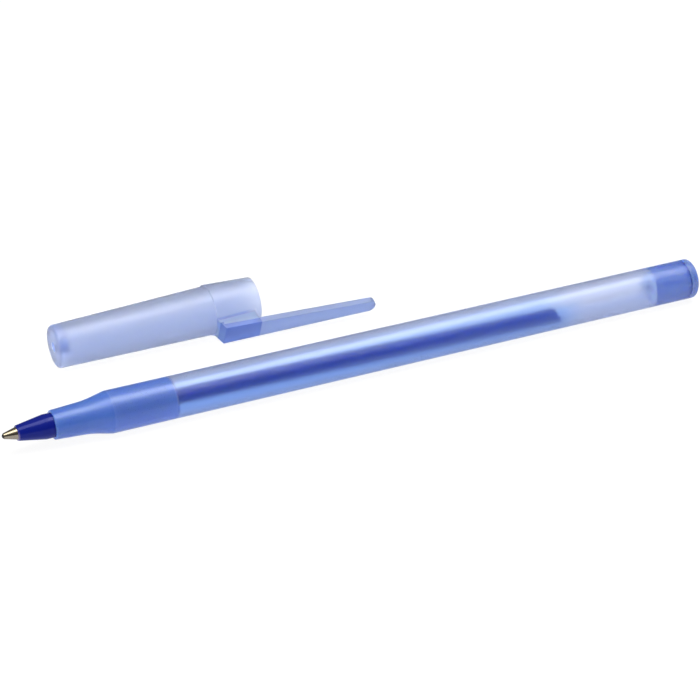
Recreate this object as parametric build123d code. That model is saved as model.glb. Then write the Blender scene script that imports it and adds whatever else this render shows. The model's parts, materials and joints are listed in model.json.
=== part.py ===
from build123d import *
import os
from math import acos, asin, atan2, cos, degrees, hypot, radians, sin, sqrt, tan

# A stick ballpoint pen lying on a table with its cap taken off and laid behind it.
# Pen stations run back from the front of the ball, cap stations run from the closed end to the mouth.
# The finished pen lies along X with its point towards -X. All lengths are in millimetres.

# Fits, as the gap on each side
PRESS_GAP = 0.01
BALL_GAP = 0.02
INK_GAP = 0.01
CAP_GAP = 0.05

# Ball and metal point
BALL_R = 0.5
BALL_PROUD = 0.3
LIP_WALL = 0.06
POINT_CONE_LENGTH = 2.4
POINT_BASE_R = 1.17
POINT_SHANK_R = 0.85
POINT_SHANK_LENGTH = 4.6
POINT_CHANNEL_R = 0.4
FEED_R = 0.18
FEED_LENGTH = 0.6

# Nose piece that holds the point and the ink tube
HOLDER_RIM = 0.25
HOLDER_RIM_ROUND = 0.12
HOLDER_CONE_LENGTH = 5.2
HOLDER_LAND_LENGTH = 1.5
HOLDER_SHOULDER = 0.25
HOLDER_SHANK_LENGTH = 11.0
HOLDER_CHANNEL_R = 0.6
SOCKET_WALL = 0.49
SOCKET_DEPTH = 6.0

# Ink tube and its filling
TUBE_R = 1.55
TUBE_WALL = 0.5
TUBE_REAR_ROOM = 1.0
TUBE_UNFILLED = 20.2

# Barrel
BARREL_R = 4.0
BARREL_LENGTH = 134.3
BARREL_WALL = 0.8
NOSE_WALL = 0.66
NOSE_RIM_ROUND = 0.12
NOSE_CONE_LENGTH = 5.3
NOSE_CONE_RISE = 0.3
FLARE_LENGTH = 5.5
FLARE_EASE = 2.2
FLARE_CREASE = 11.0
THICK_FRONT_LENGTH = 23.4

# End plug
SPIGOT_LENGTH = 8.1
SPIGOT_LEAD = 0.3
PLUG_HEAD_LENGTH = 1.6
PLUG_EDGE_ROUND = 0.35
PLUG_VENT_R = 0.5

# Cap
CAP_BODY_LENGTH = 31.8
COLLAR_LENGTH = 9.6
CAP_GRIP_LENGTH = 15.5
CAP_WALL = 0.82
COLLAR_WALL = 1.07
MOUTH_WALL = 0.52
CAP_TAPER = 0.66
CAP_TIP_WALL = 0.75
CAP_END_WALL = 2.2
CAP_EDGE_ROUND = 0.7
CAP_FLOOR_ROUND = 0.5
COLLAR_EDGE_ROUND = 0.1
CAP_VENT_R = 1.0

# Clip, moulded in one with the cap
CLIP_REACH = 23.2
CLIP_STANDOFF = 0.55
CLIP_LEAN = 2.6
CLIP_ROOT_THICK = 1.25
CLIP_TIP_THICK = 1.2
CLIP_ROOT_WIDTH = 4.9
CLIP_TIP_WIDTH = 2.85
CLIP_TIP_ROUND = 0.9
CLIP_RAMP = 0.95
BLOCK_TO_MOUTH = 1.5

# Where the cap lies, from the front of the ball to its closed end, and sideways between the two axes
CAP_BACK = 19.75
CAP_BESIDE = 28.0
CAP_TURN = -0.7

# Cuts run this far past an open end
OVERRUN = 1.0

# Stations along the pen
ball_centre = BALL_R
lip = BALL_PROUD
holder_face = lip + POINT_CONE_LENGTH
point_rear = holder_face + POINT_SHANK_LENGTH
holder_cone_end = holder_face + HOLDER_CONE_LENGTH
barrel_front = holder_cone_end + HOLDER_LAND_LENGTH
holder_rear = barrel_front + HOLDER_SHANK_LENGTH
socket_floor = holder_rear - SOCKET_DEPTH
nose_cone_end = barrel_front + NOSE_CONE_LENGTH
flare_end = nose_cone_end + FLARE_LENGTH
bore_step = barrel_front + THICK_FRONT_LENGTH
barrel_rear = barrel_front + BARREL_LENGTH
plug_front = barrel_rear - SPIGOT_LENGTH
pen_length = barrel_rear + PLUG_HEAD_LENGTH
tube_rear = plug_front - TUBE_REAR_ROOM
ink_rear = tube_rear - TUBE_UNFILLED

# Radii along the pen, built up from the ink tube outwards
tube_bore_r = TUBE_R - TUBE_WALL
socket_r = TUBE_R + PRESS_GAP
holder_shank_r = socket_r + SOCKET_WALL
holder_land_r = holder_shank_r + HOLDER_SHOULDER
nose_bore_r = holder_shank_r + PRESS_GAP
nose_rim_r = nose_bore_r + NOSE_WALL
nose_cone_r = nose_rim_r + NOSE_CONE_RISE
barrel_bore_r = BARREL_R - BARREL_WALL

# Ball seat and channel inside the point
seat_r = BALL_R + BALL_GAP
lip_hole_r = sqrt(seat_r**2 - (ball_centre - lip) ** 2)
channel_front = ball_centre + seat_r + FEED_LENGTH

# Stations and radii of the cap, whose bore follows the barrel
cap_length = CAP_BODY_LENGTH + COLLAR_LENGTH
cap_bore_r = BARREL_R + CAP_GAP
cap_body_r = cap_bore_r + CAP_WALL
cap_end_r = cap_body_r - CAP_TAPER
collar_r = cap_bore_r + COLLAR_WALL
mouth_r = cap_bore_r + MOUTH_WALL
cap_floor_r = cap_end_r - CAP_TIP_WALL
grip_start = cap_length - CAP_GRIP_LENGTH

# Stations of the clip, and its heights above the cap's axis on two lines that lean away from the collar
clip_root = CAP_BODY_LENGTH
clip_crest = clip_root + CLIP_RAMP
clip_tip = cap_length + CLIP_REACH
block_end = cap_length - BLOCK_TO_MOUTH
clip_slope = tan(radians(CLIP_LEAN))


def clip_inside(station):
    """Height of the clip's inner face."""
    return collar_r + CLIP_STANDOFF + (station - clip_root) * clip_slope


def clip_outside(station):
    """Height of the clip's outer face, which closes on the inner one towards the tip."""
    share = (station - clip_root) / (clip_tip - clip_root)
    return clip_inside(station) + CLIP_ROOT_THICK + share * (CLIP_TIP_THICK - CLIP_ROOT_THICK)


def clip_half_width(station):
    """Half of the blade's width, which narrows evenly from the root to the tip."""
    share = (station - clip_root) / (clip_tip - clip_root)
    return (CLIP_ROOT_WIDTH + share * (CLIP_TIP_WIDTH - CLIP_ROOT_WIDTH)) / 2


# The ramp in front of the clip climbs from where its block's sides leave the collar, up to the blade's crest
ramp_foot = sqrt(collar_r**2 - clip_half_width(clip_root) ** 2)


def lathe(corners):
    """Solid turned about X from corners of station, radius and rounding."""
    points = [(station, radius) for station, radius, rounding in corners]
    rounds = [rounding for station, radius, rounding in corners]
    return revolve(make_face(FilletPolyline(*points, radius=rounds, close=True)), Axis.X)


def rod(start, end, radius):
    """Plain round bar between two stations, used for bores and channels too."""
    return lathe([(start, 0, 0), (start, radius, 0), (end, radius, 0), (end, 0, 0)])


def make_ball():
    return Pos(ball_centre, 0, 0) * Sphere(BALL_R)


def make_point():
    outside = lathe([
        (lip, 0, 0),
        (lip, lip_hole_r + LIP_WALL, 0),
        (holder_face, POINT_BASE_R, 0),
        (holder_face, POINT_SHANK_R, 0),
        (point_rear, POINT_SHANK_R, 0),
        (point_rear, 0, 0),
    ])
    seat = Pos(ball_centre, 0, 0) * Sphere(seat_r)
    feed = rod(ball_centre, point_rear, FEED_R)
    channel = rod(channel_front, point_rear + OVERRUN, POINT_CHANNEL_R)
    return outside - seat - feed - channel


def make_tip_holder():
    outside = lathe([
        (holder_face, 0, 0),
        (holder_face, POINT_BASE_R + HOLDER_RIM, HOLDER_RIM_ROUND),
        (holder_cone_end, holder_land_r, 0),
        (barrel_front, holder_land_r, 0),
        (barrel_front, holder_shank_r, 0),
        (holder_rear, holder_shank_r, 0),
        (holder_rear, 0, 0),
    ])
    point_hole = rod(holder_face - OVERRUN, point_rear, POINT_SHANK_R + PRESS_GAP)
    channel = rod(point_rear, socket_floor, HOLDER_CHANNEL_R)
    socket = rod(socket_floor, holder_rear + OVERRUN, socket_r)
    return outside - point_hole - channel - socket


def make_ink_tube():
    return rod(socket_floor, tube_rear, TUBE_R) - rod(socket_floor, tube_rear, tube_bore_r)


def make_ink():
    """Ink from the point's channel, through the holder, to where the tube is filled."""
    in_point = POINT_CHANNEL_R - INK_GAP
    in_holder = HOLDER_CHANNEL_R - INK_GAP
    in_tube = tube_bore_r - INK_GAP
    return lathe([
        (channel_front, 0, 0),
        (channel_front, in_point, 0),
        (point_rear, in_point, 0),
        (point_rear, in_holder, 0),
        (socket_floor, in_holder, 0),
        (socket_floor, in_tube, 0),
        (ink_rear, in_tube, 0),
        (ink_rear, 0, 0),
    ])


def make_barrel():
    """One moulding: a gently tapered nose, a flare up to a crease, and a tube that is thick in front."""
    nose_slope = NOSE_CONE_RISE / NOSE_CONE_LENGTH
    crease_slope = tan(radians(FLARE_CREASE))
    flare = Bezier(
        (nose_cone_end, nose_cone_r),
        (nose_cone_end + FLARE_EASE, nose_cone_r + FLARE_EASE * nose_slope),
        (flare_end - FLARE_EASE, BARREL_R - FLARE_EASE * crease_slope),
        (flare_end, BARREL_R),
    )
    rim = FilletPolyline(
        (barrel_front, nose_bore_r),
        (barrel_front, nose_rim_r),
        (nose_cone_end, nose_cone_r),
        radius=NOSE_RIM_ROUND,
    )
    tube = Polyline(
        (flare_end, BARREL_R),
        (barrel_rear, BARREL_R),
        (barrel_rear, barrel_bore_r),
        (bore_step, barrel_bore_r),
        (bore_step, nose_bore_r),
        (barrel_front, nose_bore_r),
    )
    return revolve(make_face(rim + flare + tube), Axis.X)


def make_end_plug():
    outside = lathe([
        (plug_front, 0, 0),
        (plug_front, barrel_bore_r - PRESS_GAP, SPIGOT_LEAD),
        (barrel_rear, barrel_bore_r - PRESS_GAP, 0),
        (barrel_rear, BARREL_R, 0),
        (pen_length, BARREL_R, PLUG_EDGE_ROUND),
        (pen_length, 0, 0),
    ])
    return outside - rod(plug_front - OVERRUN, pen_length + OVERRUN, PLUG_VENT_R)


def side_prism(outline, width):
    """Upright prism from points of station and height, with heights pointing to -Y and width along Z."""
    face = make_face(Polyline(*[(station, -height) for station, height in outline], close=True))
    return extrude(face, width / 2, both=True)


def make_clip():
    """Tapered blade on a block; its outline from above is cut with its outline from the side."""
    side = side_prism([
        (clip_root, 0),
        (clip_root, ramp_foot),
        (clip_crest, clip_outside(clip_crest)),
        (clip_tip, clip_outside(clip_tip)),
        (clip_tip, clip_inside(clip_tip)),
        (block_end, clip_inside(block_end)),
        (block_end, 0),
    ], CLIP_ROOT_WIDTH)
    root = clip_half_width(clip_root)
    tip = clip_half_width(clip_tip)
    plan = FilletPolyline(
        (clip_root, -root),
        (clip_tip, -tip),
        (clip_tip, tip),
        (clip_root, root),
        radius=[0, CLIP_TIP_ROUND, CLIP_TIP_ROUND, 0],
        close=True,
    )
    above = extrude(Plane.XZ * make_face(plan), clip_outside(clip_tip))
    return side & above


def make_cap():
    outside = lathe([
        (0, 0, 0),
        (0, cap_end_r, CAP_EDGE_ROUND),
        (CAP_BODY_LENGTH, cap_body_r, 0),
        (CAP_BODY_LENGTH, collar_r, COLLAR_EDGE_ROUND),
        (cap_length, mouth_r, COLLAR_EDGE_ROUND),
        (cap_length, 0, 0),
    ])
    hollow = lathe([
        (CAP_END_WALL, 0, 0),
        (CAP_END_WALL, cap_floor_r, CAP_FLOOR_ROUND),
        (grip_start, cap_bore_r, 0),
        (cap_length + OVERRUN, cap_bore_r, 0),
        (cap_length + OVERRUN, 0, 0),
    ])
    vent = rod(-OVERRUN, CAP_END_WALL + OVERRUN, CAP_VENT_R)
    return outside + make_clip() - hollow - vent


def cap_rest():
    """Pitch, roll and height of the cap as it lies on its end, its collar and its clip."""
    edge = CAP_EDGE_ROUND
    edge_r = cap_end_r - edge
    run = CAP_BODY_LENGTH - edge
    rise = collar_r - edge_r
    pitch = acos(edge / hypot(run, rise)) - atan2(run, rise)
    height = collar_r * cos(pitch) - CAP_BODY_LENGTH * sin(pitch)
    corners = [
        (clip_crest, clip_outside(clip_crest), clip_half_width(clip_crest)),
        (clip_tip, clip_outside(clip_tip), clip_half_width(clip_tip)),
    ]
    rolls = []
    for station, out, half_width in corners:
        axis_height = (height + station * sin(pitch)) / cos(pitch)
        rolls.append(asin(axis_height / hypot(out, half_width)) - atan2(half_width, out))
    return degrees(pitch), degrees(min(rolls)), height


cap_pitch, cap_roll, cap_height = cap_rest()

# The part's origin is on the table under the middle of its box
axis_sideways = sin(radians(CAP_TURN)) * cos(radians(cap_pitch))
collar_far_side = CAP_BESIDE + CAP_BODY_LENGTH * axis_sideways + collar_r * sqrt(1 - axis_sideways**2)
pen_y = (BARREL_R - collar_far_side) / 2
pen_place = Pos(-pen_length / 2, pen_y, BARREL_R)
cap_place = (
    Pos(CAP_BACK - pen_length / 2, pen_y + CAP_BESIDE, cap_height)
    * Rot(0, 0, CAP_TURN)
    * Rot(0, -cap_pitch, 0)
    * Rot(cap_roll, 0, 0)
)

pieces = {
    "barrel": pen_place * make_barrel(),
    "tip_holder": pen_place * make_tip_holder(),
    "point": pen_place * make_point(),
    "ball": pen_place * make_ball(),
    "ink_tube": pen_place * make_ink_tube(),
    "ink": pen_place * make_ink(),
    "end_plug": pen_place * make_end_plug(),
    "cap": cap_place * make_cap(),
}

os.makedirs("parts", exist_ok=True)
for name, piece in pieces.items():
    export_step(piece, f"parts/{name}.step")

print(f"pen {pen_length:.2f} long, axis at y {pen_y:.3f}, ball centre at x {ball_centre - pen_length / 2:.3f}")
print(f"cap pitched {cap_pitch:.3f} and rolled {cap_roll:.3f} degrees, its end {cap_height:.3f} above the table")
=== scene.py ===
# %% [markdown]
# # A stick ballpoint pen with its cap taken off
# The pen is made of eight pieces: four mouldings, a tube, its ink, and a turned metal point with its
# ball. The CAD frame gives their real places, and this lesson makes each of them again as a fine, smooth
# mesh with the finish of the real plastic, metal or ink. Nearly every piece is round, so one outline and
# one spin make most of the shapes.

# %% Load the frame
import json
import math

import bmesh
import bpy
from mathutils import Matrix, Vector
from mathutils.geometry import interpolate_bezier


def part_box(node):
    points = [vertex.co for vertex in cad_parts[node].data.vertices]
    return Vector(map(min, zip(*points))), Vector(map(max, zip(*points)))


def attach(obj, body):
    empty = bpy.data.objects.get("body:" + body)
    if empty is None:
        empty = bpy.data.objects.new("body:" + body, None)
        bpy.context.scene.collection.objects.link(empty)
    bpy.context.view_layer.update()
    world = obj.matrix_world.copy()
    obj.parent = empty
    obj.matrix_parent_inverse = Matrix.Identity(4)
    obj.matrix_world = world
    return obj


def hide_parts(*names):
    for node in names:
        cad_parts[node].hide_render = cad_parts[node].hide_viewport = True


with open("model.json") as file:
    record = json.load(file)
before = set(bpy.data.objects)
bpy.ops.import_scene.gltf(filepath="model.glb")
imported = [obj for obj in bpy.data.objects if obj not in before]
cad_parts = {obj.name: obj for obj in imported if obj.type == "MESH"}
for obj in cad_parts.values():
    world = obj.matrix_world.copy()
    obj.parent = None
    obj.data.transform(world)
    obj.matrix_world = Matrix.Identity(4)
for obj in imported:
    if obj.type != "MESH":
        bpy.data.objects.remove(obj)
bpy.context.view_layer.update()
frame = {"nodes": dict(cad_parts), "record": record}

MM = 0.001
print("nodes:", sorted(frame["nodes"]))

# %% [markdown]
# ## Where the pen lies
# The pen lies along X with its point towards -X. The front of the ball is station zero, and the barrel's
# box gives the axis, because the barrel is the widest round piece. Every size below is a station along
# this axis or a radius around it, so a piece can be drawn flat and then carried to its place.

# %% The pen's axis
PEN_AXIS = Vector((1, 0, 0))
UP = Vector((0, 0, 1))
barrel_low, barrel_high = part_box("barrel")
barrel_r = (barrel_high.z - barrel_low.z) / 2
pen_origin = Vector((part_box("ball")[0].x, (barrel_low.y + barrel_high.y) / 2, barrel_low.z + barrel_r))
pen_place = Matrix.Translation(pen_origin)
print(f"pen axis at y {pen_origin.y:.5f}, z {pen_origin.z:.5f}, ball front at x {pen_origin.x:.5f}")


def station(node, end):
    """Distance from the front of the ball to a node's front (end 0) or rear (end 1)."""
    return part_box(node)[end].x - pen_origin.x


# %% [markdown]
# ## The camera
# The camera stands in front of the pen, to the left of its point, and looks down on it. A long lens keeps
# the sides of the barrel nearly parallel. Its place is given from the front of the ball, as it would be
# measured on a studio table, so it follows the pen if the frame moves.

# %% Camera
CAMERA_AZIMUTH = math.radians(-26.24)
CAMERA_ELEVATION = math.radians(27.75)
CAMERA_FROM_BALL = Vector((-102.04, -346.97, 204.87)) * MM
CAMERA_NEAR = 10 * MM
LENS = 118.88

back = Vector((
    math.sin(CAMERA_AZIMUTH) * math.cos(CAMERA_ELEVATION),
    -math.cos(CAMERA_AZIMUTH) * math.cos(CAMERA_ELEVATION),
    math.sin(CAMERA_ELEVATION),
))
camera = bpy.data.objects.new("camera", bpy.data.cameras.new("camera"))
camera.data.lens = LENS
camera.data.clip_start = CAMERA_NEAR
camera.location = pen_origin + CAMERA_FROM_BALL
camera.rotation_euler = (-back).to_track_quat("-Z", "Y").to_euler()
bpy.context.scene.collection.objects.link(camera)
bpy.context.scene.camera = camera
bpy.context.scene.view_settings.view_transform = "Standard"
print("camera at", [round(x, 4) for x in camera.location])

# %% [markdown]
# ## Turning a piece
# A lathe, or a round mould, makes a shape from one outline. In Blender that is a spin: the outline's
# points are joined into a closed wire, and the wire is spun a full turn about the pen's axis. Points on
# the axis fall together, so doubles are merged before the normals are worked out. Edges that a maker
# would break are bevelled afterwards, because a bevel follows the ring however the outline changes.

# %% Turning
TURN_STEPS = 160
MERGE = 1e-7
NEAR = 1e-6


def turned(outline, steps=TURN_STEPS):
    """A bmesh spun about X from a closed outline of stations and radii."""
    bm = bmesh.new()
    points = [bm.verts.new((along, 0, radius)) for along, radius in outline]
    wire = [bm.edges.new(pair) for pair in zip(points, points[1:] + points[:1])]
    on_axis = [edge for edge in wire if all(point.co.z == 0 for point in edge.verts)]
    bmesh.ops.delete(bm, geom=on_axis, context="EDGES_FACES")
    geom = bm.verts[:] + bm.edges[:]
    bmesh.ops.spin(
        bm, geom=geom, cent=(0, 0, 0), axis=(1, 0, 0), angle=math.tau, steps=steps, use_merge=True
    )
    bmesh.ops.remove_doubles(bm, verts=bm.verts, dist=MERGE)
    bmesh.ops.recalc_face_normals(bm, faces=bm.faces)
    return bm


def bevelled(bm, edges, rounding, segments):
    """Rounds edges with a circular bevel."""
    bmesh.ops.bevel(
        bm, geom=edges, offset=rounding, segments=segments, profile=0.5, affect="EDGES", material=-1
    )


def round_rings(bm, corners, segments=5):
    """Rounds the circular edges that pass through corners of station, radius and rounding."""
    for along, radius, rounding in corners:
        ring = [
            edge for edge in bm.edges
            if all(
                abs(v.co.x - along) < NEAR and abs(math.hypot(v.co.y, v.co.z) - radius) < NEAR
                for v in edge.verts
            )
        ]
        bevelled(bm, ring, rounding, segments)


# %% Finishing a piece
SHARP = math.radians(35)


def finished(bm, name, place, material):
    """Turns a bmesh into a smooth object at the origin, with its place in its mesh."""
    bmesh.ops.transform(bm, matrix=place, verts=bm.verts)
    for face in bm.faces:
        face.smooth = True
    mesh = bpy.data.meshes.new(name)
    bm.to_mesh(mesh)
    bm.free()
    mesh.set_sharp_from_angle(angle=SHARP)
    mesh.materials.append(material)
    piece = bpy.data.objects.new(name, mesh)
    bpy.context.scene.collection.objects.link(piece)
    print(f"{name}: {len(mesh.polygons)} faces")
    return piece


def stands_for(piece, node, body):
    """Hangs the piece on its body in place of the CAD node."""
    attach(piece, body)
    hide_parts(node)


# %% [markdown]
# ## Finishes
# A finish is a small tree of nodes. These helpers make a node with its inputs set, and the noise that
# colour, roughness and bump draw on, so that each finish below is only a few lines. The noise reads
# Object coordinates, which need no unwrapping and stay with the piece as it moves.

# %% Node helpers
# A Mix node has a socket of the same name for each kind of data, so its colours go by number
MIX_FIRST = 6
MIX_SECOND = 7
MIX_COLOUR = 2
NOISE_LOW = 0.3
NOISE_HIGH = 0.7


def new_material(name):
    """A material with its node tree and its Principled shader."""
    material = bpy.data.materials.new(name)
    material.use_nodes = True
    return material, material.node_tree, principled(material)


def principled(material):
    """A material's Principled shader."""
    return material.node_tree.nodes["Principled BSDF"]


def feed(tree, node, inputs):
    """Sets a node's inputs by name or number; a socket as a value is linked."""
    for key, value in inputs.items():
        if isinstance(value, bpy.types.NodeSocket):
            tree.links.new(value, node.inputs[key])
        else:
            node.inputs[key].default_value = value


def add(tree, kind, inputs=None, **settings):
    """A new node with its settings and its inputs."""
    node = tree.nodes.new(kind)
    for key, value in settings.items():
        setattr(node, key, value)
    feed(tree, node, inputs or {})
    return node


def noise(tree, scale, detail=2.0, stretch=(1, 1, 1)):
    """Noise in the piece's own space, in cycles per metre, stretched along the axes."""
    where = add(tree, "ShaderNodeTexCoord").outputs["Object"]
    fitted = add(tree, "ShaderNodeMapping", {"Vector": where, "Scale": stretch}).outputs["Vector"]
    inputs = {"Vector": fitted, "Scale": scale, "Detail": detail}
    return add(tree, "ShaderNodeTexNoise", inputs).outputs["Fac"]


def spread(tree, value, low, high):
    """Maps noise, which lies mostly near its middle, to a range."""
    limits = {"Value": value, "From Min": NOISE_LOW, "From Max": NOISE_HIGH, "To Min": low, "To Max": high}
    return add(tree, "ShaderNodeMapRange", limits).outputs["Result"]


def opaque(colour):
    """A colour with its alpha, or a socket as it is."""
    return colour if isinstance(colour, bpy.types.NodeSocket) else (*colour, 1)


def between(tree, factor, first, second):
    """A colour between two, each a colour or a socket, by a factor."""
    inputs = {"Factor": factor, MIX_FIRST: opaque(first), MIX_SECOND: opaque(second)}
    return add(tree, "ShaderNodeMix", inputs, data_type="RGBA").outputs[MIX_COLOUR]


def bumped(tree, height, strength, depth):
    """Normals for a surface that a height pattern dents."""
    inputs = {"Strength": strength, "Distance": depth, "Height": height}
    return add(tree, "ShaderNodeBump", inputs).outputs["Normal"]


# %% [markdown]
# ## Frosted plastic
# The barrel, the cap, the plug and the ink tube are translucent. Their skin is frosted, so what lies
# behind is soft, and their colour lies in the depth of the plastic, so a thick wall looks bluer than a
# thin one. Rough transmission gives the frost and absorption in the volume gives the depth. A skin is a
# pair of close colours, because plastic that flowed into a mould is never quite even.

# %% Frosted plastic
PLASTIC_IOR = 1.57
ABSORBED = (0.30, 0.48, 0.94)
SCATTER_DEPTH = (0.5, 0.7, 1.2)
FLOW_SCALE = 260
FLOW_STRETCH = (0.25, 1, 1)
GRAIN_SCALE = 9000
GRAIN_DETAIL = 3.0
GRAIN_BUMP = 0.08
GRAIN_DEPTH = 0.02 * MM


def flowed(tree, skin):
    """A skin's two colours, mixed in streaks along the mould."""
    return between(tree, noise(tree, scale=FLOW_SCALE, stretch=FLOW_STRETCH), *skin)


def frosted(name, skin, density, rough, clear, ior=PLASTIC_IOR):
    """Translucent plastic of a skin, a density per metre, a range of roughness and a clear share."""
    material, tree, shader = new_material(name)
    grain = noise(tree, scale=GRAIN_SCALE, detail=GRAIN_DETAIL)
    feed(tree, shader, {
        "Base Color": flowed(tree, skin),
        "Roughness": spread(tree, grain, *rough),
        "Normal": bumped(tree, grain, GRAIN_BUMP, GRAIN_DEPTH),
        "IOR": ior,
        "Transmission Weight": clear,
        "Subsurface Weight": 1.0,
        "Subsurface Radius": SCATTER_DEPTH,
        "Subsurface Scale": MM,
    })
    depth = add(tree, "ShaderNodeVolumeAbsorption", {"Color": opaque(ABSORBED), "Density": density})
    feed(tree, tree.nodes["Material Output"], {"Volume": depth.outputs["Volume"]})
    return material


# %% [markdown]
# ## Zones of a finish
# One moulding can look different from place to place: a thick stretch is deeper, and some zones hold
# painted light or shade, such as the bluer lower side of the barrel over the ink. Cutting the mesh into
# materials would leave hard borders, so a zone is made of planes instead. Each plane turns the distance
# from a point along a direction into a soft step, and the zone is where every step is still 0.

# %% Zones
ZONE_FADE = 0.15 * MM


def beyond(tree, start, direction, distance, fade=ZONE_FADE):
    """0 before a plane across a direction and 1 past it, eased over a fade on both sides."""
    where = add(tree, "ShaderNodeTexCoord").outputs["Object"]
    offset = add(tree, "ShaderNodeVectorMath", {0: where, 1: start}, operation="SUBTRACT")
    arms = {0: offset.outputs["Vector"], 1: direction}
    height = add(tree, "ShaderNodeVectorMath", arms, operation="DOT_PRODUCT").outputs["Value"]
    limits = {"Value": height, "From Min": distance - fade, "From Max": distance + fade}
    return add(tree, "ShaderNodeMapRange", limits, interpolation_type="SMOOTHSTEP").outputs["Result"]


def largest(tree, *values):
    """The largest of several values."""
    top = values[0]
    for value in values[1:]:
        top = add(tree, "ShaderNodeMath", {0: top, 1: value}, operation="MAXIMUM").outputs["Value"]
    return top


def zone(tree, *planes):
    """0 inside all planes, each a point, a direction, a distance and maybe a fade, and 1 outside them."""
    return largest(tree, *[beyond(tree, *plane) for plane in planes])


def shared(tree, share, inside, elsewhere):
    """A number that is one value inside a zone and another elsewhere."""
    limits = {"Value": share, "To Min": inside, "To Max": elsewhere}
    return add(tree, "ShaderNodeMapRange", limits).outputs["Result"]


def fed_by(socket):
    """What feeds a socket at present: another socket or its own value."""
    return socket.links[0].from_socket if socket.links else socket.default_value


def recoloured(material, share, skin, clear=None):
    """Gives the plastic its own skin, and if wanted its own clear share, inside a zone."""
    tree = material.node_tree
    shader = principled(material)
    elsewhere = fed_by(shader.inputs["Base Color"])
    feed(tree, shader, {"Base Color": between(tree, share, flowed(tree, skin), elsewhere)})
    if clear is not None:
        elsewhere = fed_by(shader.inputs["Transmission Weight"])
        feed(tree, shader, {"Transmission Weight": shared(tree, share, clear, elsewhere)})


# %% [markdown]
# ## Barrel
# The barrel is one moulding: a gently tapered nose, a flare that ends in a faint crease, and a long tube.
# Its wall is thick in front and thin behind a step in the bore. The flare is a Bezier curve, and the
# nose's rim and the crease get a small bevel. A cylinder with loop cuts would make the same shape, but
# one outline keeps the inside and the outside together.

# %% Barrel outline
NOSE_CONE_LENGTH = 5.3 * MM
NOSE_RIM_R = 2.72 * MM
NOSE_CONE_R = 3.02 * MM
NOSE_BORE_R = 2.06 * MM
FLARE_LENGTH = 5.5 * MM
FLARE_EASE = 2.2 * MM
CREASE_SLOPE = math.tan(math.radians(11))
FLARE_POINTS = 24
THICK_FRONT_LENGTH = 23.4 * MM
BARREL_WALL = 0.8 * MM
# A hair that parts two pieces or lets them overlap, so that no two faces lie in one place
FIT = 0.01 * MM

barrel_front = station("barrel", 0)
barrel_rear = station("barrel", 1)
barrel_bore_r = barrel_r - BARREL_WALL
nose_cone_end = barrel_front + NOSE_CONE_LENGTH
flare_end = nose_cone_end + FLARE_LENGTH
bore_step = barrel_front + THICK_FRONT_LENGTH
nose_slope = (NOSE_CONE_R - NOSE_RIM_R) / NOSE_CONE_LENGTH
flare = interpolate_bezier(
    (nose_cone_end, NOSE_CONE_R),
    (nose_cone_end + FLARE_EASE, NOSE_CONE_R + FLARE_EASE * nose_slope),
    (flare_end - FLARE_EASE, barrel_r - FLARE_EASE * CREASE_SLOPE),
    (flare_end, barrel_r),
    FLARE_POINTS,
)
barrel_outline = [
    (barrel_front, NOSE_BORE_R),
    (barrel_front, NOSE_RIM_R),
    *[(point.x, point.y) for point in flare],
    (barrel_rear + FIT, barrel_r),
    (barrel_rear + FIT, barrel_bore_r),
    (bore_step, barrel_bore_r),
    (bore_step, NOSE_BORE_R),
]
print(f"barrel from {barrel_front:.4f} to {barrel_rear:.4f}, flare up to {flare_end:.4f}")

# %% [markdown]
# ## Barrel finish
# The thin tube is nearly clear. Over the ink its lower side is bluer: painted blue light, for the light
# that passes through the ink onto that side. It is deeper in front, where the wall is thick, and once more
# on the nose, which is filled by the nose piece. The thick front is also glossier. These are zones along
# the pen, so the whole barrel stays one mesh.

# %% Barrel finish
BARREL_SKIN = (0.975, 0.98, 0.986), (0.955, 0.96, 0.976)
BARREL_SHEEN = (0.70, 0.81, 1.0)
# Painted blue light: over the ink the lower side of the barrel is bluer, for light that passes through the
# ink
INK_LIGHT_SKIN = (0.62, 0.79, 1.0), (0.60, 0.77, 0.99)
OVER_INK_REACH = 1.3 * MM
OVER_INK_FADE = 4.0 * MM
OVER_INK_TOP = 2.0 * MM
OVER_INK_TOP_FADE = 1.0 * MM
FRONT_SKIN = (0.165, 0.325, 0.79), (0.145, 0.305, 0.77)
FRONT_FADE = 0.4 * MM
FRONT_COAT = 0.62
FRONT_COAT_ROUGH = 0.54
NOSE_SKIN = (0.10, 0.23, 0.69), (0.08, 0.21, 0.67)
NOSE_LEAD = 0.1 * MM


def glossed(material, share, weight, rough):
    """Lays a clear gloss on the plastic inside a zone."""
    tree = material.node_tree
    coat = shared(tree, share, weight, 0.0)
    feed(tree, principled(material), {"Coat Weight": coat, "Coat Roughness": rough})


ink_rear = station("ink", 1)
barrel_plastic = frosted("barrel_frosted_blue", BARREL_SKIN, density=270, rough=(0.27, 0.34), clear=0.99)
tree = barrel_plastic.node_tree
feed(tree, principled(barrel_plastic), {"Specular Tint": opaque(BARREL_SHEEN)})
# Painted blue light on the lower side of the barrel over the ink
painted_ink_light = zone(
    tree,
    (pen_origin, PEN_AXIS, ink_rear + OVER_INK_REACH, OVER_INK_FADE),
    (pen_origin, UP, OVER_INK_TOP, OVER_INK_TOP_FADE),
)
thick_front = zone(tree, (pen_origin, PEN_AXIS, bore_step - FRONT_FADE, FRONT_FADE))
nose = zone(tree, (pen_origin, PEN_AXIS, flare_end - NOSE_LEAD))
recoloured(barrel_plastic, painted_ink_light, INK_LIGHT_SKIN)
recoloured(barrel_plastic, thick_front, FRONT_SKIN, clear=0.62)
recoloured(barrel_plastic, nose, NOSE_SKIN, clear=0.40)
glossed(barrel_plastic, thick_front, FRONT_COAT, FRONT_COAT_ROUGH)
print("barrel finish:", len(tree.nodes), "nodes")

# %% Barrel
NOSE_RIM_ROUND = 0.18 * MM
CREASE_ROUND = 0.06 * MM

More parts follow.
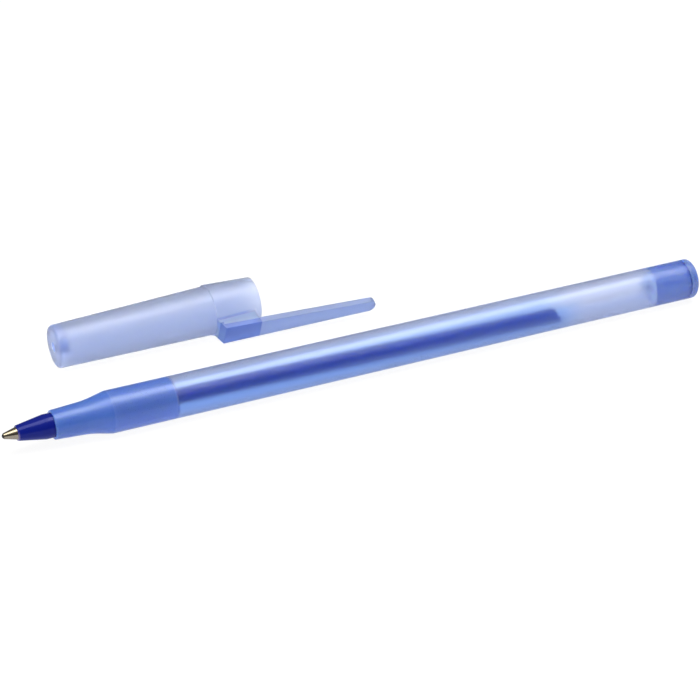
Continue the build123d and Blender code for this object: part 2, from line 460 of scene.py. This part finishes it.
bm = turned(barrel_outline)
round_rings(bm, [(barrel_front, NOSE_RIM_R, NOSE_RIM_ROUND), (flare_end, barrel_r, CREASE_ROUND)])
barrel = finished(bm, "barrel_moulding", pen_place, barrel_plastic)
stands_for(barrel, "barrel", "pen")

# %% [markdown]
# ## Nose piece
# A navy nose piece is pressed into the barrel. Its cone shows in front, and its shank carries the metal
# point and the ink tube. The plastic is opaque and glossier than the barrel, so a Principled shader
# without transmission is enough. The lower edge of its front face catches light, which a small pale zone
# stands for.

# %% Nose piece outline
POINT_BASE_R = 1.17 * MM
POINT_SHANK_R = 0.85 * MM
HOLDER_RIM_WIDTH = 0.25 * MM
HOLDER_FACE_R = POINT_BASE_R + HOLDER_RIM_WIDTH
HOLDER_RIM_ROUND = 0.12 * MM
HOLDER_CONE_LENGTH = 5.2 * MM
HOLDER_LAND_R = 2.30 * MM
HOLDER_SHANK_R = 2.05 * MM
TUBE_R = 1.55 * MM
CHANNEL_R = 0.6 * MM

holder_face = station("tip_holder", 0)
holder_rear = station("tip_holder", 1)
point_rear = station("point", 1)
socket_floor = station("ink_tube", 0)
holder_outline = [
    (holder_face, POINT_SHANK_R + FIT),
    (holder_face, HOLDER_FACE_R),
    (holder_face + HOLDER_CONE_LENGTH, HOLDER_LAND_R),
    (barrel_front, HOLDER_LAND_R),
    (barrel_front, HOLDER_SHANK_R),
    (holder_rear, HOLDER_SHANK_R),
    (holder_rear, TUBE_R + FIT),
    (socket_floor, TUBE_R + FIT),
    (socket_floor, CHANNEL_R),
    (point_rear, CHANNEL_R),
    (point_rear, POINT_SHANK_R + FIT),
]
print(f"nose piece from {holder_face:.4f} to {holder_rear:.4f}")

# %% Nose piece
NAVY = (0.004, 0.010, 0.18), (0.003, 0.008, 0.15)
NAVY_CLOUD_SCALE = 900
NAVY_GRAIN_SCALE = 14000
NAVY_GRAIN_BUMP = 0.05
NAVY_GRAIN_DEPTH = 0.01 * MM
NAVY_ROUGH = (0.17, 0.23)
NAVY_GLOSS = 0.31
NAVY_SHEEN = (0.50, 0.54, 1.0)
# Painted highlight: a pale zone low on the front face of the nose piece, where its edge catches light
RIM_HIGHLIGHT = (0.18, 0.15, 0.28)
RIM_LENGTH = 0.22 * MM
RIM_FADE = 0.12 * MM
RIM_TOP = 0.4 * MM
RIM_TOP_FADE = 0.6 * MM


def navy_plastic():
    """Opaque navy plastic with a painted highlight low on its front face."""
    material, tree, shader = new_material("navy_gloss")
    cloud = noise(tree, scale=NAVY_CLOUD_SCALE)
    grain = noise(tree, scale=NAVY_GRAIN_SCALE)
    rim = zone(
        tree,
        (pen_origin, PEN_AXIS, holder_face + RIM_LENGTH, RIM_FADE),
        (pen_origin, UP, RIM_TOP, RIM_TOP_FADE),
    )
    feed(tree, shader, {
        "Base Color": between(tree, rim, RIM_HIGHLIGHT, between(tree, cloud, *NAVY)),
        "Roughness": spread(tree, grain, *NAVY_ROUGH),
        "Normal": bumped(tree, grain, NAVY_GRAIN_BUMP, NAVY_GRAIN_DEPTH),
        "Specular IOR Level": NAVY_GLOSS,
        "Specular Tint": opaque(NAVY_SHEEN),
    })
    return material


bm = turned(holder_outline)
round_rings(bm, [(holder_face, HOLDER_FACE_R, HOLDER_RIM_ROUND)])
holder = finished(bm, "nose_piece", pen_place, navy_plastic())
stands_for(holder, "tip_holder", "pen")

# %% [markdown]
# ## Metal point and ball
# The point is turned from brass or nickel silver, and its lip is rolled over the ball. The ball is a hard
# metal sphere that sticks out by less than its radius. Turning leaves fine rings, so the noise is drawn
# out across the axis until only rings are left of it.

# %% Metals
RING_SCALE = 6000
RING_DETAIL = 1.0
RING_STRETCH = (1, 0.02, 0.02)
RING_DEPTH = 0.005 * MM


def turned_metal(name, tones, rough, ring_bump):
    """Metal of two tones with fine rings across the axis."""
    material, tree, shader = new_material(name)
    rings = noise(tree, scale=RING_SCALE, detail=RING_DETAIL, stretch=RING_STRETCH)
    feed(tree, shader, {
        "Base Color": between(tree, rings, *tones),
        "Roughness": spread(tree, rings, *rough),
        "Normal": bumped(tree, rings, ring_bump, RING_DEPTH),
        "Metallic": 1.0,
    })
    return material


# %% Metal point
BALL_R = 0.5 * MM
BALL_PLAY = 0.02 * MM
LIP_R = 0.54 * MM
LIP_HOLE_R = 0.48 * MM
POINT_CHANNEL_R = 0.4 * MM
POINT_TONES = (0.345, 0.295, 0.215), (0.275, 0.235, 0.165)

lip = station("point", 0)
point_outline = [
    (lip, LIP_HOLE_R),
    (lip, LIP_R),
    (holder_face, POINT_BASE_R),
    (holder_face, POINT_SHANK_R),
    (point_rear, POINT_SHANK_R),
    (point_rear, POINT_CHANNEL_R),
    (lip + 2 * BALL_R, POINT_CHANNEL_R),
    (BALL_R, BALL_R + BALL_PLAY),
]
point_metal = turned_metal("point_metal", POINT_TONES, rough=(0.16, 0.24), ring_bump=0.2)
point = finished(turned(point_outline), "metal_point", pen_place, point_metal)
stands_for(point, "point", "pen")

# %% Ball
BALL_RINGS = 24
BALL_TONES = (0.040, 0.034, 0.030), (0.030, 0.026, 0.023)

bm = bmesh.new()
bmesh.ops.create_uvsphere(bm, u_segments=2 * BALL_RINGS, v_segments=BALL_RINGS, radius=BALL_R)
ball_place = pen_place @ Matrix.Translation((BALL_R, 0, 0))
ball_metal = turned_metal("ball_metal", BALL_TONES, rough=(0.10, 0.16), ring_bump=0.0)
ball = finished(bm, "writing_ball", ball_place, ball_metal)
stands_for(ball, "ball", "ball")

# %% [markdown]
# ## Ink tube and ink
# A thin clear tube is pushed into the nose piece and hangs free behind it, so it droops a little. A curve
# with a bevel could make it, but a spun outline with many stations gives both walls and bends just as
# well. The ink wets the inside of the tube, so its column is made a hair wider than the bore, with no
# film of air between, and its rear end is slanted, because the pen lies on its side.

# %% Ink tube
TUBE_BORE_R = 1.05 * MM
TUBE_STEPS = 40
TUBE_TURN_STEPS = 64
TUBE_IOR = 1.38
TUBE_SKIN = (0.93, 0.95, 1.0), (0.91, 0.94, 1.0)
DROOP = 1.56 * MM
tube_rear = station("ink_tube", 1)


def drooped(bm):
    """Bends what lies behind the nose piece down, more towards the rear."""
    for v in bm.verts:
        share = min(max((v.co.x - holder_rear) / (tube_rear - holder_rear), 0.0), 1.0)
        v.co.z -= DROOP * share * share * (3 - 2 * share)


def stations(first, last, count):
    """Evenly spaced stations, both ends included."""
    return [first + (last - first) * i / count for i in range(count + 1)]


tube_plastic = frosted("tube_clear", TUBE_SKIN, density=20, rough=(0.12, 0.18), clear=0.99, ior=TUBE_IOR)
tube_stations = stations(socket_floor, tube_rear, TUBE_STEPS)
tube_outline = [(x, TUBE_R) for x in tube_stations] + [(x, TUBE_BORE_R) for x in reversed(tube_stations)]
bm = turned(tube_outline, steps=TUBE_TURN_STEPS)
drooped(bm)
tube = finished(bm, "reservoir_tube", pen_place, tube_plastic)
stands_for(tube, "ink_tube", "pen")

# %% Ink finish
INK_BLUE = (0.005, 0.052, 0.60), (0.004, 0.045, 0.52)
INK_CLOUD_SCALE = 1500
INK_CLOUD_STRETCH = (0.3, 1, 1)
INK_ROUGH = (0.35, 0.5)
INK_GLOSS = 0.05


def ink_paste():
    """Dark blue paste with almost no gloss of its own, because the tube's wall lies on it."""
    material, tree, shader = new_material("ink_paste")
    cloud = noise(tree, scale=INK_CLOUD_SCALE, stretch=INK_CLOUD_STRETCH)
    feed(tree, shader, {
        "Base Color": between(tree, cloud, *INK_BLUE),
        "Roughness": spread(tree, cloud, *INK_ROUGH),
        "Specular IOR Level": INK_GLOSS,
    })
    return material


# %% Ink
INK_IN_POINT_R = POINT_CHANNEL_R - FIT
INK_IN_HOLDER_R = CHANNEL_R - FIT
WETTING = 0.02 * MM
WETTED_R = TUBE_BORE_R + WETTING
INK_SLANT = 0.8 * MM

ink_front = station("ink", 0)
ink_outline = [
    (ink_front, 0),
    (ink_front, INK_IN_POINT_R),
    (point_rear, INK_IN_POINT_R),
    (point_rear, INK_IN_HOLDER_R),
    (socket_floor, INK_IN_HOLDER_R),
    *[(x, WETTED_R) for x in stations(socket_floor, ink_rear, TUBE_STEPS)],
    (ink_rear, 0),
]
bm = turned(ink_outline, steps=TUBE_TURN_STEPS)
for v in bm.verts:
    if v.co.x > ink_rear - MERGE:
        v.co.x -= v.co.z / WETTED_R * INK_SLANT
drooped(bm)
ink = finished(bm, "ink_column", pen_place, ink_paste())
stands_for(ink, "ink", "pen")

# %% [markdown]
# ## End plug
# The rear of the barrel is closed by a plug. Its spigot is pressed into the bore, where it shows through
# the wall, and its head is as wide as the barrel, with a rounded edge. A vent lets air in as the ink runs
# out. The spigot is painted brighter than the head, as painted light for the light that reaches it through
# the barrel, and its front face is painted paler and given a faint glow, as painted light for the light
# that the plastic pipes along. A little emission is a cheap stand-in for many bounces.

# %% End plug outline
SPIGOT_LEAD = 0.3 * MM
PLUG_EDGE_ROUND = 0.35 * MM
PLUG_ROUND_SEGMENTS = 8
PLUG_VENT_R = 0.5 * MM

plug_front = station("end_plug", 0)
plug_rear = station("end_plug", 1)
spigot_r = barrel_bore_r + FIT
plug_outline = [
    (plug_front, PLUG_VENT_R),
    (plug_front, spigot_r),
    (barrel_rear, spigot_r),
    (barrel_rear, barrel_r),
    (plug_rear, barrel_r),
    (plug_rear, PLUG_VENT_R),
]
print(f"plug from {plug_front:.4f} to {plug_rear:.4f}")

# %% End plug
HEAD_SKIN = (0.21, 0.33, 0.74), (0.19, 0.31, 0.72)
# Painted light: the spigot is brighter, for the light that reaches it through the barrel
SPIGOT_LIT_SKIN = (0.31, 0.47, 0.95), (0.29, 0.45, 0.93)
SPIGOT_FADE = 0.1 * MM
# Painted light: the plug's front face is paler and glows faintly, for light that the plastic pipes along
PLUG_FACE_LIT_SKIN = (0.70, 0.82, 1.0), (0.68, 0.80, 0.99)
PLUG_FACE_DEPTH = 0.04 * MM
PLUG_FACE_FADE = 0.03 * MM
PIPED_LIGHT = (0.02, 0.05, 0.22)


def glowing(material, share, colour):
    """Adds emission as painted light that a clear piece pipes to a face, inside a zone."""
    tree = material.node_tree
    strength = shared(tree, share, 1.0, 0.0)
    feed(tree, principled(material), {"Emission Color": opaque(colour), "Emission Strength": strength})


plug_plastic = frosted("plug_frosted_blue", HEAD_SKIN, density=60, rough=(0.31, 0.40), clear=0.4)
tree = plug_plastic.node_tree
# Painted light on the spigot and on the plug's front face
spigot = zone(tree, (pen_origin, PEN_AXIS, barrel_rear, SPIGOT_FADE))
lit_plug_face = zone(tree, (pen_origin, PEN_AXIS, plug_front + PLUG_FACE_DEPTH, PLUG_FACE_FADE))
recoloured(plug_plastic, spigot, SPIGOT_LIT_SKIN)
recoloured(plug_plastic, lit_plug_face, PLUG_FACE_LIT_SKIN, clear=0.0)
glowing(plug_plastic, lit_plug_face, PIPED_LIGHT)
bm = turned(plug_outline)
plug_corners = [(plug_front, spigot_r, SPIGOT_LEAD), (plug_rear, barrel_r, PLUG_EDGE_ROUND)]
round_rings(bm, plug_corners, segments=PLUG_ROUND_SEGMENTS)
plug = finished(bm, "end_plug_moulding", pen_place, plug_plastic)
stands_for(plug, "end_plug", "pen")

# %% [markdown]
# ## Cap
# The cap lies behind the pen with its closed end to the left. It is one moulding: a tapered body, a
# collar at its mouth, and a clip that stands on a block of its own width. The round part and its hollow
# are spun as the other pieces are. The cap's axis comes from its mouth in the frame, and the clip's side
# from the far end of the CAD mesh, so the cap lies just where its solid does.

# %% The cap's place
CAP_BODY_LENGTH = 31.8 * MM
COLLAR_LENGTH = 9.6 * MM
CAP_GRIP_LENGTH = 15.5 * MM
CAP_LENGTH = CAP_BODY_LENGTH + COLLAR_LENGTH
TIP_SLICE = 0.02 * MM

mouth = next(mount for mount in frame["record"]["mounts"] if mount["name"] == "cap_mouth")
cap_axis = Vector(mouth["axis"]).normalized()
cap_end = Vector(mouth["pos_m"]) - cap_axis * (CAP_LENGTH - CAP_GRIP_LENGTH / 2)
corners = [v.co - cap_end for v in frame["nodes"]["cap"].data.vertices]
clip_tip = max(corner.dot(cap_axis) for corner in corners)
tip_corners = [corner for corner in corners if corner.dot(cap_axis) > clip_tip - TIP_SLICE]
tip_middle = sum(tip_corners, Vector()) / len(tip_corners)
clip_side = (tip_middle - cap_axis * tip_middle.dot(cap_axis)).normalized()
across = clip_side.cross(cap_axis)
cap_place = Matrix.Translation(cap_end) @ Matrix((cap_axis, across, clip_side)).transposed().to_4x4()
print("cap's closed end at", [round(x, 5) for x in cap_end])
print("clip towards", [round(x, 3) for x in clip_side])

# %% Cap body and hollow
CAP_WALL = 0.82 * MM
CAP_TAPER = 0.66 * MM
CAP_END_WALL = 0.75 * MM
COLLAR_WALL = 1.07 * MM
MOUTH_WALL = 0.52 * MM
CAP_VENT_R = 1.0 * MM
CAP_FLOOR = 2.2 * MM
CAP_FLOOR_ROUND = 0.5 * MM
CAP_EDGE_ROUND = 0.7 * MM
COLLAR_EDGE_ROUND = 0.1 * MM
OVERRUN = 1.0 * MM

cap_bore_r = mouth["dims"]["r_mm"] * MM
cap_body_r = cap_bore_r + CAP_WALL
cap_end_r = cap_body_r - CAP_TAPER
cap_floor_r = cap_end_r - CAP_END_WALL
collar_r = cap_bore_r + COLLAR_WALL
mouth_r = cap_bore_r + MOUTH_WALL
cap_body = turned([
    (0, 0),
    (0, cap_end_r),
    (CAP_BODY_LENGTH, cap_body_r),
    (CAP_BODY_LENGTH, collar_r),
    (CAP_LENGTH, mouth_r),
    (CAP_LENGTH, 0),
])
round_rings(cap_body, [
    (0, cap_end_r, CAP_EDGE_ROUND),
    (CAP_BODY_LENGTH, collar_r, COLLAR_EDGE_ROUND),
    (CAP_LENGTH, mouth_r, COLLAR_EDGE_ROUND),
])
cap_hollow = turned([
    (-OVERRUN, 0),
    (-OVERRUN, CAP_VENT_R),
    (CAP_FLOOR, CAP_VENT_R),
    (CAP_FLOOR, cap_floor_r),
    (CAP_LENGTH - CAP_GRIP_LENGTH, cap_bore_r),
    (CAP_LENGTH + OVERRUN, cap_bore_r),
    (CAP_LENGTH + OVERRUN, 0),
])
round_rings(cap_hollow, [(CAP_FLOOR, cap_floor_r, CAP_FLOOR_ROUND)])
print(f"cap {CAP_LENGTH:.4f} long, body {len(cap_body.faces)} faces, hollow {len(cap_hollow.faces)} faces")

# %% [markdown]
# ## Clip
# The clip is a flat bar that springs over a pocket's edge. It rises from the collar on a short ramp,
# stands on a solid block, and leaves the collar at a small angle, getting narrower towards its rounded
# tip. A side outline extruded across and drawn in towards the tip makes it in two steps, where a scaled
# cube would need many cuts.

# %% Clip sizes
CLIP_STANDOFF = 0.55 * MM
CLIP_SLOPE = math.tan(math.radians(2.6))
CLIP_ROOT_THICK = 1.25 * MM
CLIP_TIP_THICK = 1.2 * MM
CLIP_ROOT_HALF = 2.45 * MM
CLIP_TIP_HALF = 1.425 * MM
CLIP_RAMP = 0.95 * MM
BLOCK_SETBACK = 1.5 * MM
BLOCK_END = CAP_LENGTH - BLOCK_SETBACK

clip_root = CAP_BODY_LENGTH
clip_crest = clip_root + CLIP_RAMP
ramp_foot = math.sqrt(collar_r ** 2 - CLIP_ROOT_HALF ** 2)


def along_clip(at, root, tip):
    """A size that changes evenly from the clip's root to its tip."""
    return root + (tip - root) * (at - clip_root) / (clip_tip - clip_root)


def clip_half(at):
    """Half the clip's width at a station."""
    return along_clip(at, CLIP_ROOT_HALF, CLIP_TIP_HALF)


def clip_inside(at):
    """Height of the clip's inner face at a station."""
    return collar_r + CLIP_STANDOFF + (at - clip_root) * CLIP_SLOPE


def clip_outside(at):
    """Height of the clip's outer face at a station."""
    return clip_inside(at) + along_clip(at, CLIP_ROOT_THICK, CLIP_TIP_THICK)


print(f"clip from {clip_root:.4f} to {clip_tip:.4f}, on a block up to {BLOCK_END:.4f}")

# %% Clip
CLIP_TIP_ROUND = 1.25 * MM
CLIP_TIP_SEGMENTS = 10
CLIP_EDGE_ROUND = 0.1 * MM
CLIP_EDGE_SEGMENTS = 4


def plate(outline, half_width):
    """A side outline of stations and heights, extruded across to a half width at each station."""
    bm = bmesh.new()
    side = bm.faces.new([bm.verts.new((along, -1, height)) for along, height in outline])
    far = bmesh.ops.extrude_face_region(bm, geom=[side])["geom"]
    bmesh.ops.translate(bm, vec=(0, 2, 0), verts=[v for v in far if isinstance(v, bmesh.types.BMVert)])
    for v in bm.verts:
        v.co.y *= half_width(v.co.x)
    bmesh.ops.recalc_face_normals(bm, faces=bm.faces)
    return bm


clip_outline = [
    (clip_root, 0),
    (clip_root, ramp_foot),
    (clip_crest, clip_outside(clip_crest)),
    (clip_tip, clip_outside(clip_tip)),
    (clip_tip, clip_inside(clip_tip)),
    (BLOCK_END, clip_inside(BLOCK_END)),
    (BLOCK_END, 0),
]
clip = plate(clip_outline, clip_half)
at_tip = [edge for edge in clip.edges if all(abs(v.co.x - clip_tip) < MERGE for v in edge.verts)]
upright_at_tip = [edge for edge in at_tip if edge.verts[0].co.y * edge.verts[1].co.y > 0]
bevelled(clip, upright_at_tip, CLIP_TIP_ROUND, CLIP_TIP_SEGMENTS)
outer_rim = [
    edge for edge in clip.edges
    if edge.calc_face_angle() > SHARP and all(v.co.z > clip_outside(v.co.x) - MERGE for v in edge.verts)
]
bevelled(clip, outer_rim, CLIP_EDGE_ROUND, CLIP_EDGE_SEGMENTS)
print("clip:", len(clip.faces), "faces")

# %% [markdown]
# ## Cap finish
# The cap's frosted wall is thin and hollow, so it looks paler than the pen. Its clip and the block under
# it are solid, so they are deeper, and deepest where both lie behind one another. On the real cap the
# thickness alone gives these tones. Here zones set them, because a render that follows light for only a
# few bounces loses them. Other zones are painted light: painted shade in the crease at the block's foot,
# in the vent and on the blade below its outer face, and a painted highlight on the block's end face.

# %% Cap finish: block
CAP_SKIN = (0.735, 0.785, 0.91), (0.715, 0.765, 0.90)
# Painted shade: the crease where the block's walls leave the collar is darker
FOOT_SHADE_SKIN = (0.42, 0.51, 0.80), (0.41, 0.50, 0.79)
FOOT_FALL = 0.05
FOOT_ABOVE = 0.28 * MM
FOOT_BELOW = 0.15 * MM
FOOT_FADE = 0.1 * MM
FOOT_RUN_OUT = 1.2 * MM
WALL_SKIN = (0.60, 0.78, 0.97), (0.59, 0.77, 0.96)
WALL_ABOVE = 0.3 * MM
WALL_INSET = 0.1 * MM
# Painted highlight: the block's end face by the mouth is paler
FACE_HIGHLIGHT_SKIN = (0.88, 0.91, 1.0), (0.87, 0.90, 0.99)
FACE_DEPTH = 0.05 * MM
FACE_FADE = 0.04 * MM
FACE_BELOW = 0.5 * MM
BLADE_LEAD = 0.3 * MM
BLADE_START = BLOCK_END + BLADE_LEAD

cap_plastic = frosted("cap_frosted_blue", CAP_SKIN, density=70, rough=(0.40, 0.50), clear=0.95)
tree = cap_plastic.node_tree
root_centre = cap_end + cap_axis * clip_root
foot_normal = clip_side + cap_axis * FOOT_FALL
behind_root = (cap_end, -cap_axis, -clip_root)
# Painted shade in the crease at the block's foot
painted_foot_shade = zone(
    tree,
    (root_centre, foot_normal, ramp_foot + FOOT_ABOVE, FOOT_FADE),
    (root_centre, -foot_normal, FOOT_BELOW - ramp_foot, FOOT_FADE),
    (cap_end, cap_axis, BLOCK_END - FOOT_RUN_OUT, FOOT_RUN_OUT),
    behind_root,
)
block_wall = zone(
    tree,
    (root_centre, -foot_normal, -WALL_ABOVE - ramp_foot, FOOT_FADE),
    (cap_end, cap_axis, BLOCK_END - WALL_INSET),
    behind_root,
)
# Painted highlight on the block's end face
painted_face_highlight = zone(
    tree,
    (cap_end, -cap_axis, FACE_DEPTH - BLOCK_END, FACE_FADE),
    (cap_end, cap_axis, BLADE_START),
    (cap_end, -clip_side, FACE_BELOW - ramp_foot),
)
# The painted shade at the foot, the block's walls, and the painted highlight on its end face
for share, skin in ((painted_foot_shade, FOOT_SHADE_SKIN), (block_wall, WALL_SKIN), (painted_face_highlight, FACE_HIGHLIGHT_SKIN)):
    recoloured(cap_plastic, share, skin)
print("cap finish with its block:", len(tree.nodes), "nodes")

# %% Cap finish: vent and clip
# Painted shade: the vent through the closed end is darker and less clear
VENT_SHADE_SKIN = (0.42, 0.53, 0.84), (0.41, 0.52, 0.83)
VENT_MARGIN = 1.05
VENT_FADE = 0.05 * MM
VENT_START = 0.1 * MM
VENT_OVERRUN = 0.2 * MM
VENT_CLEAR = 0.6
BLADE_SKIN = (0.44, 0.55, 0.81), (0.42, 0.53, 0.80)
# Painted shade: below its outer face the blade is darker, on its sides and underside
BLADE_SHADE_SKIN = (0.35, 0.45, 0.71), (0.34, 0.44, 0.70)
BLADE_MARGIN = 0.2 * MM
WEB_SKIN = (0.085, 0.18, 0.62), (0.075, 0.17, 0.61)
WEB_LIFT = 0.15 * MM
WEB_FADE = 0.08 * MM
RAMP_SKIN = (0.12, 0.24, 0.64), (0.11, 0.23, 0.63)
RAMP_LIFT = 0.2 * MM
CLIP_CLEAR = 0.75

clip_foot = root_centre + clip_side * clip_inside(clip_root)
clip_normal = (clip_side - cap_axis * CLIP_SLOPE).normalized()
# Painted shade in the vent
vent_sides = (across, -across, clip_side, -clip_side)
vent = zone(
    tree,
    *[(cap_end, side, VENT_MARGIN * CAP_VENT_R, VENT_FADE) for side in vent_sides],
    (cap_end, -cap_axis, -VENT_START, VENT_FADE),
    (cap_end, cap_axis, CAP_FLOOR + VENT_OVERRUN),
)
recoloured(cap_plastic, vent, VENT_SHADE_SKIN, clear=VENT_CLEAR)
before_blade = (cap_end, -cap_axis, -BLADE_START)
under_blade = (clip_foot, -clip_normal, BLADE_MARGIN)
blade = zone(tree, before_blade, under_blade)
# Painted shade on the blade below its outer face
painted_blade_shade = zone(tree, before_blade, under_blade, (clip_foot, clip_normal, CLIP_TIP_THICK - BLADE_MARGIN))
web = zone(tree, (cap_end, cap_axis, BLADE_START), (clip_foot, -clip_normal, -WEB_LIFT, WEB_FADE))
ramp = zone(tree, (cap_end, cap_axis, clip_crest), (cap_end, -clip_side, -collar_r - RAMP_LIFT))
clip_zones = ((blade, BLADE_SKIN), (painted_blade_shade, BLADE_SHADE_SKIN), (web, WEB_SKIN), (ramp, RAMP_SKIN))
for share, skin in clip_zones:
    recoloured(cap_plastic, share, skin, clear=CLIP_CLEAR)
print("cap finish with its clip:", len(tree.nodes), "nodes")

# %% [markdown]
# ## One skin for the cap
# Body, clip and hollow are still three shapes. Light bends at every wall it meets, so walls inside a
# clear moulding would show. Exact Boolean modifiers join the clip to the body and then cut the hollow out
# of both, which leaves one closed skin. Joining the meshes would be quicker, but it would keep the hidden
# walls.


# %% Cap
def combined(base, other, operation):
    """Joins or cuts one object with another, and keeps the result as the first one's mesh."""
    cut = base.modifiers.new("cut", "BOOLEAN")
    cut.object = other
    cut.operation = operation
    cut.solver = "EXACT"
    shape = bpy.data.meshes.new_from_object(base.evaluated_get(bpy.context.evaluated_depsgraph_get()))
    base.modifiers.remove(cut)
    base.data = shape
    bpy.data.objects.remove(other)


cap = finished(cap_body, "cap_moulding", Matrix.Identity(4), cap_plastic)
for shape, operation in ((clip, "UNION"), (cap_hollow, "DIFFERENCE")):
    tool = finished(shape, "cap_tool", Matrix.Identity(4), cap_plastic)
    combined(cap, tool, operation)
cap.data.transform(cap_place)
cap.data.set_sharp_from_angle(angle=SHARP)
stands_for(cap, "cap", "cap")
print(f"cap in one skin: {len(cap.data.polygons)} faces")

# %% [markdown]
# ## Floor
# The pen lies on a plain white table. A lit white floor would render grey, and brighter lamps would bleach
# the plastic, so the floor shines by itself for rays that come straight from the camera, from a gloss or
# through a clear piece. For gloss and clear pieces that glow is a little bluish: painted blue light, for
# the light that passes through the blue plastic onto the table. All other rays meet a pale floor, also
# painted a little bluish for the same light, which sends soft light back up.

# %% Floor
FLOOR_SIZE = 3.0
FLOOR_CELLS = 4
FLOOR_CLOUD_SCALE = 3
# Painted blue light: the floor's bounce, and its glow in gloss and through clear pieces, are tinted blue
# for light through the plastic
FLOOR_BLUE_BOUNCE = (0.78, 0.83, 0.97), (0.77, 0.82, 0.96)
FLOOR_MIRRORED = (0.25, 0.25, 0.25)
FLOOR_SHADE = (0.10, 0.10, 0.10)
FLOOR_GLOW = 0.79
FLOOR_BLUE_LIGHT = (0.86, 0.93, 1.16)
FLOOR_WHITE = (1.18, 1.18, 1.18)
FLOOR_ROUGH = 0.9


def white_floor():
    """A white table that shines for the camera, with painted blue light for what mirrors it, lets it
    through or takes its bounce.
    """
    material, tree, shader = new_material("white_table")
    ray = add(tree, "ShaderNodeLightPath").outputs
    by_camera = ray["Is Camera Ray"]
    seen = largest(tree, by_camera, ray["Is Glossy Ray"], ray["Is Transmission Ray"])
    blue_bounce = between(tree, noise(tree, scale=FLOOR_CLOUD_SCALE), *FLOOR_BLUE_BOUNCE)
    lit = between(tree, seen, blue_bounce, FLOOR_MIRRORED)
    feed(tree, shader, {
        "Base Color": between(tree, by_camera, lit, FLOOR_SHADE),
        "Emission Color": between(tree, by_camera, FLOOR_BLUE_LIGHT, FLOOR_WHITE),
        "Emission Strength": shared(tree, seen, 0.0, FLOOR_GLOW),
        "Roughness": FLOOR_ROUGH,
        "Specular IOR Level": 0.0,
    })
    return material


bm = bmesh.new()
bmesh.ops.create_grid(bm, x_segments=FLOOR_CELLS, y_segments=FLOOR_CELLS, size=FLOOR_SIZE)
floor = finished(bm, "floor", Matrix.Identity(4), white_floor())

# %% [markdown]
# ## Lamps and sky
# Three soft lamps light the table: two hang over the pen and draw the long pale lines on the barrel and
# the nose, and one stands low on the left and lights the faces that look that way. A small lamp would
# give hard lines, so each is a wide rectangle. The sky fills in from above and gets dimmer towards the
# horizon, and it is plain white where the camera or a clear piece looks straight at it.

# %% Lamps
LAMP_COLOUR = (1.0, 0.98, 0.93)


def soft_lamp(name, place, aim, size, power):
    """A rectangular soft lamp at a place, turned to a point."""
    data = bpy.data.lights.new(name, "AREA")
    data.shape = "RECTANGLE"
    data.size, data.size_y = size
    data.energy = power
    data.color = LAMP_COLOUR
    lamp = bpy.data.objects.new(name, data)
    lamp.location = place
    lamp.rotation_euler = (Vector(aim) - Vector(place)).to_track_quat("-Z", "Y").to_euler()
    bpy.context.scene.collection.objects.link(lamp)
    print(f"{name}: {power} W")


soft_lamp("top_lamp", place=(0.22, -0.045, 0.6), aim=(0.22, -0.02, 0), size=(0.40, 0.34), power=3.1)
soft_lamp("nose_lamp", place=(-0.21, -0.09, 0.6), aim=(-0.21, -0.02, 0), size=(0.44, 0.38), power=2.6)
soft_lamp("left_lamp", place=(-0.60, -0.12, 0.22), aim=(-0.06, 0, 0), size=(0.3, 0.3), power=1.5)

# %% Sky
SKY_LOW = 0.2
SKY_HIGH = 0.9
SKY_DIM = 0.06
SKY_BRIGHT = 0.3
WHITE = (1, 1, 1)

world = bpy.data.worlds.new("studio")
world.use_nodes = True
sky = world.node_tree
looked = add(sky, "ShaderNodeTexCoord").outputs["Generated"]
height = add(sky, "ShaderNodeSeparateXYZ", {"Vector": looked}).outputs["Z"]
limits = {"From Min": SKY_LOW, "From Max": SKY_HIGH, "To Min": SKY_DIM, "To Max": SKY_BRIGHT}
glow = add(sky, "ShaderNodeMapRange", {"Value": height, **limits}).outputs["Result"]
ray = add(sky, "ShaderNodeLightPath").outputs
strength = largest(sky, glow, ray["Is Camera Ray"], ray["Is Transmission Ray"])
feed(sky, sky.nodes["Background"], {"Color": opaque(WHITE), "Strength": strength})
bpy.context.scene.world = world
print(f"sky from {SKY_DIM} at the horizon to {SKY_BRIGHT} above")
